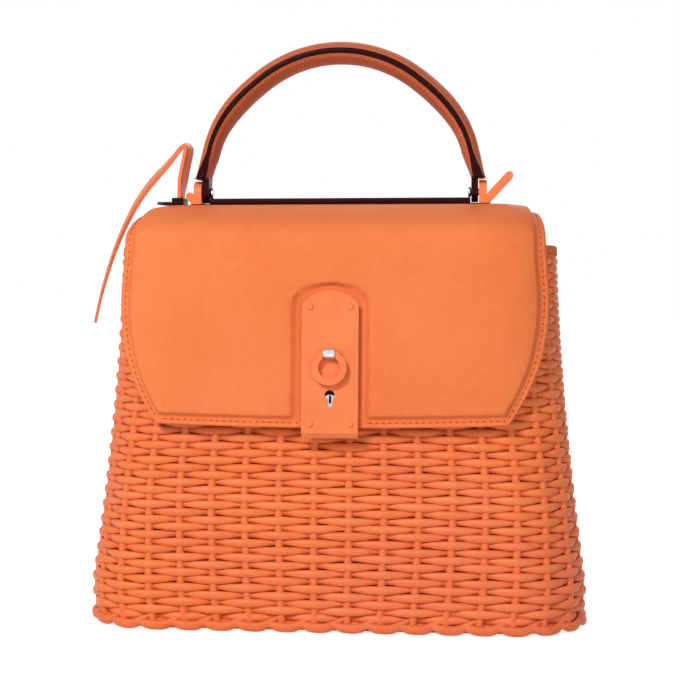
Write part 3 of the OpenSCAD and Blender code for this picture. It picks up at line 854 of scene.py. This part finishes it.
def lock_plate():
    """The plate with a well rounded rim and crisp holes."""
    rim_r, rim_segments, hole_share = 0.9, 3, 0.25
    side_x, lip_up, arch_up = 13.5, -5, PLATE_H - PLATE_HANG - PLATE_ARCH
    obj = solid_copy("lock_plate", "lock_plate_enamel")
    mesh = obj.data
    weights = mesh.attributes.new("bevel_weight_edge", "FLOAT", "EDGE")
    rim = []
    for vertex in mesh.vertices:
        x, up, _ = on_plate(vertex.co)
        rim.append(abs(x) > side_x or up < lip_up or up > arch_up)
    for edge in mesh.edges:
        a, b = edge.vertices
        weights.data[edge.index].value = 1 if rim[a] and rim[b] else hole_share
    round_edges(obj, rim_r, rim_segments, weights=True)
    dress(obj, "flap", "enamel", [ENAMEL], "lock_plate")


lock_plate()


def lock_plug():
    """The plug behind the keyhole, dark in its key slot, where the dark is painted shade."""
    slot_half, slot_low, edge_r = 0.61, 14, 0.2
    obj = softened_copy("lock_plug", "lock_plug_chrome", edge_r)
    dress(obj, "lock_plug", "chrome", [CHROME, EDGE_PAINT], "lock_plug")
    # Faces over the key slot take the dark paint as painted shade of the slot
    for face in obj.data.polygons:
        x, up, _ = on_plate(face.center)
        if abs(x) < slot_half and up > slot_low:
            face.material_index = 1


lock_plug()


# Handle

HANDLE_R, HANDLE_HALF, BULGE, EDGE_T, HANDLE_Z, END_ANGLE = 74.5, 12, 4.8, 3.4, 256.5, 12.0083
END_SCALE, LEG_SPREAD, EDGE_PROUD = 0.8, 4, 0.5
# Degrees over which the handle thins and its legs spread towards their ends
THIN_DEGREES, SPREAD_DEGREES = 28, 40


def from_end(degrees):
    """Degrees to the nearer end of the handle's arch."""
    return min(degrees - END_ANGLE, 180 - END_ANGLE - degrees)


def handle_place(degrees, out, across):
    """A place on the handle: degrees round its arch, out from its middle line and across it."""
    k = mix(END_SCALE, 1, smooth(from_end(degrees) / THIN_DEGREES))
    a = math.radians(degrees)
    r = HANDLE_R + LEG_SPREAD * (1 - smooth(from_end(degrees) / SPREAD_DEGREES)) + out * k
    return r * math.cos(a), across * k, HANDLE_Z + r * math.sin(a)


def handle_part(name, section, slot, finish, node):
    """One layer of the handle, swept round the arch."""
    rings = []
    for degrees in spaced(END_ANGLE, 180 - END_ANGLE, 120):
        rings.append([handle_place(degrees, out, across) for out, across in section])
    obj = formed_tube(name, rings)
    dress(obj, "handle", slot, [finish], node)


def leather_rise(t):
    """Share of a leather half's thickness, from one long edge (0) over its back to the other (pi)."""
    return math.sin(t) ** 1.5


def half_round(side):
    """Section of a leather half: a flat face on the edge and a full back."""
    arc = spaced(0, math.pi, 24)
    return [(side * (EDGE_T / 2 + BULGE * leather_rise(t)), HANDLE_HALF * math.cos(t)) for t in arc]


handle_part("handle_outer_leather", half_round(1), "leather", HANDLE_CALF_PAINTED_SHADE, "handle_outer")
handle_part("handle_inner_leather", half_round(-1), "leather", HANDLE_CALF_PAINTED_SHADE, "handle_inner")
handle_part(
    "handle_painted_edge",
    rounded_section(-EDGE_T / 2, EDGE_T / 2, -HANDLE_HALF - EDGE_PROUD, HANDLE_HALF + EDGE_PROUD, 0.8),
    "edge_paint", EDGE_PAINT, "handle_edge",
)


# Where the leather ends on a handle foot: its level and its distance from the middle
FOOT_LOW, FOOT_X = 256.9, 81.65


def handle_post(node, name):
    """The end fitting under the leather, which turns on the pin."""
    into_wrap, edge_r = 0.8, 0.8
    post = solid_copy(node, name)
    choose(post)
    bpy.ops.object.mode_set(mode="EDIT")
    bpy.ops.mesh.select_all(action="SELECT")
    bpy.ops.mesh.bisect(
        plane_co=(0, 0, (FOOT_LOW + into_wrap) * MM), plane_no=(0, 0, 1), use_fill=True, clear_outer=True
    )
    bpy.ops.object.mode_set(mode="OBJECT")
    round_edges(post, edge_r)
    dress(post, "handle", "edge_paint", [EDGE_PAINT], node)


def foot_wrap(side, name):
    """The leather ends run out on the widening dark edge."""
    end_r = HANDLE_R + LEG_SPREAD
    end_turn = math.radians(END_ANGLE)
    end = (end_r * math.cos(end_turn), HANDLE_Z + end_r * math.sin(end_turn))
    half = END_SCALE * HANDLE_HALF
    foot_edge, foot_leather, edge_proud = 2.9, 1.35, 0.4
    arc_steps = 12
    arc = spaced(0, math.pi, arc_steps)
    rounded_end = [(0.98, 0.95), (1, 0.82)]
    rings = []
    for u, size in [(u, 1) for u in spaced(0, 0.94, 12)] + rounded_end:
        turn = math.radians(mix(END_ANGLE, 0, u))
        edge = mix(END_SCALE * EDGE_T / 2, foot_edge, smooth(u)) * size
        leather_t = mix(END_SCALE * BULGE, foot_leather, smooth(u)) * size
        wide = half * size
        section = [(edge + leather_t * leather_rise(t), wide * math.cos(t)) for t in arc]
        section += [(edge, -wide - edge_proud), (-edge, -wide - edge_proud)]
        section += [(-edge - leather_t * leather_rise(t), -wide * math.cos(t)) for t in arc]
        section += [(-edge, wide + edge_proud), (edge, wide + edge_proud)]
        x, z = mix(end[0], FOOT_X, u), mix(end[1], FOOT_LOW, u)
        rings.append([
            (side * (x + out * math.cos(turn)), across, z + out * math.sin(turn)) for out, across in section
        ])
    second_half = arc_steps + 3
    leather_columns = [*range(arc_steps), *range(second_half, second_half + arc_steps)]
    obj = formed_tube(name, rings, painted=leather_columns)
    dress(obj, "handle", "edge_paint", [EDGE_PAINT, HANDLE_CALF_PAINTED_SHADE])


def handle_foot(side, node, name):
    handle_post(node, name + "_post")
    foot_wrap(side, name + "_wrap")


handle_foot(-1, "left_handle_end", "left_handle_foot")
handle_foot(1, "right_handle_end", "right_handle_foot")


# Strap

STRAP_W, STRAP_T = 12, 2.6
STRAP_ROOT = (95.4, 242.5)
STRAP_ROUTE = [
    (0, 0), (-0.1, 4.6), (-0.6, 10), (-1.4, 15.4), (-2.5, 21), (-3.7, 26.6), (-4.6, 31.2), (-4.5, 33.6),
    (-2.8, 35), (-0.4, 33.8), (2.7, 30), (7.2, 24.6), (13, 18.4), (19.2, 11.4), (25.2, 3.2),
    (30.8, -6.4), (36, -17), (40.6, -28.2), (44.6, -39.8), (48.2, -52), (50.8, -62.4), (52.6, -70.6),
]


def strap_tail():
    """The strap from its sleeve over the fold to its point."""
    last = len(STRAP_ROUTE) - 1
    steps, reach = 160, 0.2
    taper_from, taper_by, thinning, fold = 12, 0.75, 0.6, 8
    sleeve_turn, fold_turn = 10, 12
    rings = []
    section = rounded_section(-1, 1, -1, 1, 0.3)
    for u in spaced(0, last, steps):
        x, z = catmull(STRAP_ROUTE, u)
        before = catmull(STRAP_ROUTE, max(0, u - reach))
        after = catmull(STRAP_ROUTE, min(last, u + reach))
        d = Vector((after[0] - before[0], after[1] - before[1])).normalized()
        taper = 1 - taper_by * smooth((u - taper_from) / (last - taper_from))
        turn = math.radians(-sleeve_turn * smooth((u - 1) / 2) - fold_turn * smooth((u - fold) / 5))
        half_t, half_w = STRAP_T / 2 * mix(1, taper, thinning), STRAP_W / 2 * taper
        c, s = math.cos(turn), math.sin(turn)
        side = Vector((d.y * c, s, d.x * c))
        face = Vector((-d.y * s, c, -d.x * s))
        at = Vector((-(STRAP_ROOT[0] + x), 0, STRAP_ROOT[1] + z))
        rings.append([tuple(at + a * half_t * side + b * half_w * face) for a, b in section])
    obj = formed_tube("strap_tail", rings)
    dress(obj, "flap", "leather", [STRAP_CALF], "strap")


strap_tail()


# Sewing

def one_stitch(length, width):
    """A short oval of thread, long along X."""
    deselect()
    bpy.ops.mesh.primitive_uv_sphere_add(segments=8, ring_count=5, radius=0.5)
    obj = bpy.context.object
    obj.scale = (length * MM, width * MM, width * 0.8 * MM)
    bpy.ops.object.transform_apply(location=True, rotation=True, scale=True)
    bpy.ops.object.shade_smooth()
    return obj


def sewn_line(name, paths, body, thread, pitch=2.6, length=2.0, width=0.62, slant=20, start=0.5):
    """Stitches along paths of (place, outward direction), each turned a little against the line."""
    stitch = one_stitch(length, width)
    copies = []
    for path in paths:
        carried = pitch * start
        for (a, out), (b, _) in zip(path, path[1:]):
            a, b, out = Vector(a), Vector(b), Vector(out).normalized()
            step = b - a
            while carried < step.length:
                along = step.normalized()
                side = out.cross(along).normalized()
                place = Matrix((along, side, along.cross(side))).transposed().to_4x4()
                place.translation = (a + along * carried) * MM
                copy = stitch.copy()
                copy.data = stitch.data.copy()
                bpy.context.scene.collection.objects.link(copy)
                copy.matrix_world = place @ Matrix.Rotation(math.radians(slant), 4, "Z")
                copies.append(copy)
                carried += pitch
            carried -= step.length
    bpy.data.objects.remove(stitch)
    deselect()
    for copy in copies:
        copy.select_set(True)
    bpy.context.view_layer.objects.active = copies[0]
    bpy.ops.object.join()
    obj = bpy.context.object
    obj.name = obj.data.name = name
    bpy.ops.object.transform_apply(location=True, rotation=True, scale=True)
    dress(obj, body, "leather", [thread])


def flap_sewing():
    """Stitches round the flap's sewn margin, with a pit between each two, drawn as a dark bead: painted
    shade.
    """
    level, first_degrees, from_corner = FLAP_T - 0.15, 4, 4
    pitch, side_tilt = 3.7, 0.25
    rows = [dome_row(d) for d in spaced(first_degrees, 180 - BEND_END, 40)]
    rows += [front_row(z) for z in spaced(FRONT_TOP, FLAP_LOW + SEAM_IN, 60)]
    paths = []
    for side in (-1, 1):
        path = []
        for row in rows:
            x = side * (row["half"] - SEAM_IN)
            path.append((flap_point(x, row, level), (side_tilt * side, row["out"][0], row["out"][1])))
        paths.append(path)
    low = front_row(FLAP_LOW + SEAM_IN)
    ends = low["half"] - from_corner
    for start, end in ((-ends, -RECESS_HALF), (RECESS_HALF, ends)):
        paths.append([(flap_point(x, low, level), (0, -1, 0)) for x in spaced(start, end, 30)])
    sewn_line("flap_stitching", paths, "flap", CALF, pitch, length=2.7, width=0.7, slant=8)
    # The pits are dark thread beads on the leather, standing for the holes' painted shade
    sewn_line("flap_stitch_pits_painted_shade", paths, "flap", THREAD, pitch, length=1.15, width=0.9, slant=0, start=1)


def yoke_sewing():
    """Two rows of stitches round the back yoke's free edges."""
    top_y, top_z, lean = 47.3327, 213.3, math.radians(2.14974)
    thick, high, corner, start = 2.2, 42, 14, -2
    half = FLAP_BACK_W / 2 - 12
    quarter = spaced(0, math.pi / 2, 8)
    paths = []
    for inset in (2.6, 6.2):
        w, r = half - inset, corner - inset
        line = [(-w, start), (-w, -high + corner)]
        line += [(-w + r - r * math.cos(a), -high + corner - r * math.sin(a)) for a in quarter]
        line += [(-x, y) for x, y in reversed(line)]
        path = []
        for x, y in line:
            place = (x, top_y - y * math.sin(lean) + thick * math.cos(lean), top_z + y * math.cos(lean))
            path.append((place, (0, 1, 0)))
        paths.append(path)
    sewn_line("yoke_stitching", paths, "basket", THREAD)


def rim_sewing():
    """A row of stitches on the binding's outer face and one on its inner face."""
    around, up = 240, 2.2
    paths = []
    for off, direction in ((BINDING_OUT, 1), (BINDING_IN, -1)):
        path = []
        for i in range(around + 1):
            x, y, _ = wall_point(i / around, WALL_TOP, off)
            nearby = wall_point(i / around, WALL_TOP, off + direction)
            path.append(((x, y, WALL_TOP + up), (nearby[0] - x, nearby[1] - y, 0)))
        paths.append(path)
    sewn_line("rim_stitching", paths, "basket", THREAD, pitch=3.2, length=2.4)


def handle_sewing():
    """A fine row in the inner leather half, on both sides, close to the painted edge."""
    t, past_end = 0.45, 2
    lean_out, lean_across = 0.75, 0.66
    out = -EDGE_T / 2 - BULGE * leather_rise(t)
    paths = []
    for face in (1, -1):
        path = []
        for degrees in spaced(END_ANGLE + past_end, 180 - past_end - END_ANGLE, 90):
            a = math.radians(degrees)
            outward = (-lean_out * math.cos(a), lean_across * face, -lean_out * math.sin(a))
            path.append((handle_place(degrees, out, face * HANDLE_HALF * math.cos(t)), outward))
        paths.append(path)
    sewn_line("handle_stitching", paths, "handle", PALE_THREAD, pitch=2.7, length=1.8, width=0.4, slant=8)


flap_sewing()
yoke_sewing()
rim_sewing()
handle_sewing()


# Studio

def background_rays(tree):
    """1 for the rays that show the background: to the camera, in a reflection or through glass."""
    path = tree.nodes.new("ShaderNodeLightPath")
    seen = combine(tree, path.outputs["Is Camera Ray"], path.outputs["Is Glossy Ray"], "MAXIMUM")
    return combine(tree, seen, path.outputs["Is Transmission Ray"], "MAXIMUM")


def pale_floor():
    """A matt floor that keeps the bag's shadow and fades to white away from it."""
    material = bpy.data.materials.new("pale_floor")
    material.use_nodes = True
    tree = material.node_tree
    tree.nodes.clear()
    seen = background_rays(tree)
    matt = add_node(tree, "BsdfDiffuse", Color=(0.8, 0.8, 0.8, 1))
    glow = add_node(tree, "Emission")
    away = add_node(tree, "VectorMath", operation="LENGTH")
    tree.links.new(object_coords(tree), away.inputs[0])
    brighter = map_range(
        tree, away.outputs["Value"], (0.1, 0.5), (0.78, 1.0), interpolation_type="SMOOTHSTEP"
    )
    tree.links.new(brighter, glow.inputs["Strength"])
    both = tree.nodes.new("ShaderNodeAddShader")
    pick = tree.nodes.new("ShaderNodeMixShader")
    output = tree.nodes.new("ShaderNodeOutputMaterial")
    tree.links.new(matt.outputs["BSDF"], both.inputs[0])
    tree.links.new(glow.outputs["Emission"], both.inputs[1])
    tree.links.new(seen, pick.inputs["Fac"])
    tree.links.new(matt.outputs["BSDF"], pick.inputs[1])
    tree.links.new(both.outputs["Shader"], pick.inputs[2])
    tree.links.new(pick.outputs["Shader"], output.inputs["Surface"])
    return material


def studio_floor():
    size, level = 14, -0.0004
    deselect()
    bpy.ops.mesh.primitive_plane_add(size=size, location=(0, 0, level))
    floor = bpy.context.object
    floor.name = "studio_floor"
    floor.data.materials.append(pale_floor())


def studio_world():
    """White where the background shows, and a dim light from all sides."""
    light, shown = 0.13, 1
    world = bpy.data.worlds.new("studio_world")
    world.use_nodes = True
    bpy.context.scene.world = world
    tree = world.node_tree
    background = tree.nodes["Background"]
    background.inputs["Color"].default_value = (1, 1, 1, 1)
    strength = map_range(tree, background_rays(tree), (0, 1), (light, shown))
    tree.links.new(strength, background.inputs["Strength"])


def studio_lamps():
    """Soft lamps that face the bag's middle."""
    target = Vector((0, 0, 0.15))
    for name, place, size, watts in (
        ("key_light", (-0.6, -1.5, 1.2), 0.4, 21.8),
        ("left_light", (-1.6, -0.6, 0.4), 0.8, 3.5),
        ("right_light", (0.85, -1.5, 0.5), 0.7, 6),
        ("back_light", (0.3, 1.6, 1.0), 1.2, 8),
    ):
        data = bpy.data.lights.new(name, "AREA")
        data.size = size
        data.energy = watts
        lamp = bpy.data.objects.new(name, data)
        bpy.context.scene.collection.objects.link(lamp)
        lamp.location = place
        lamp.rotation_euler = (target - Vector(place)).to_track_quat("-Z", "Y").to_euler()


studio_floor()
studio_world()
studio_lamps()
bpy.context.scene.view_settings.view_transform = "Standard"
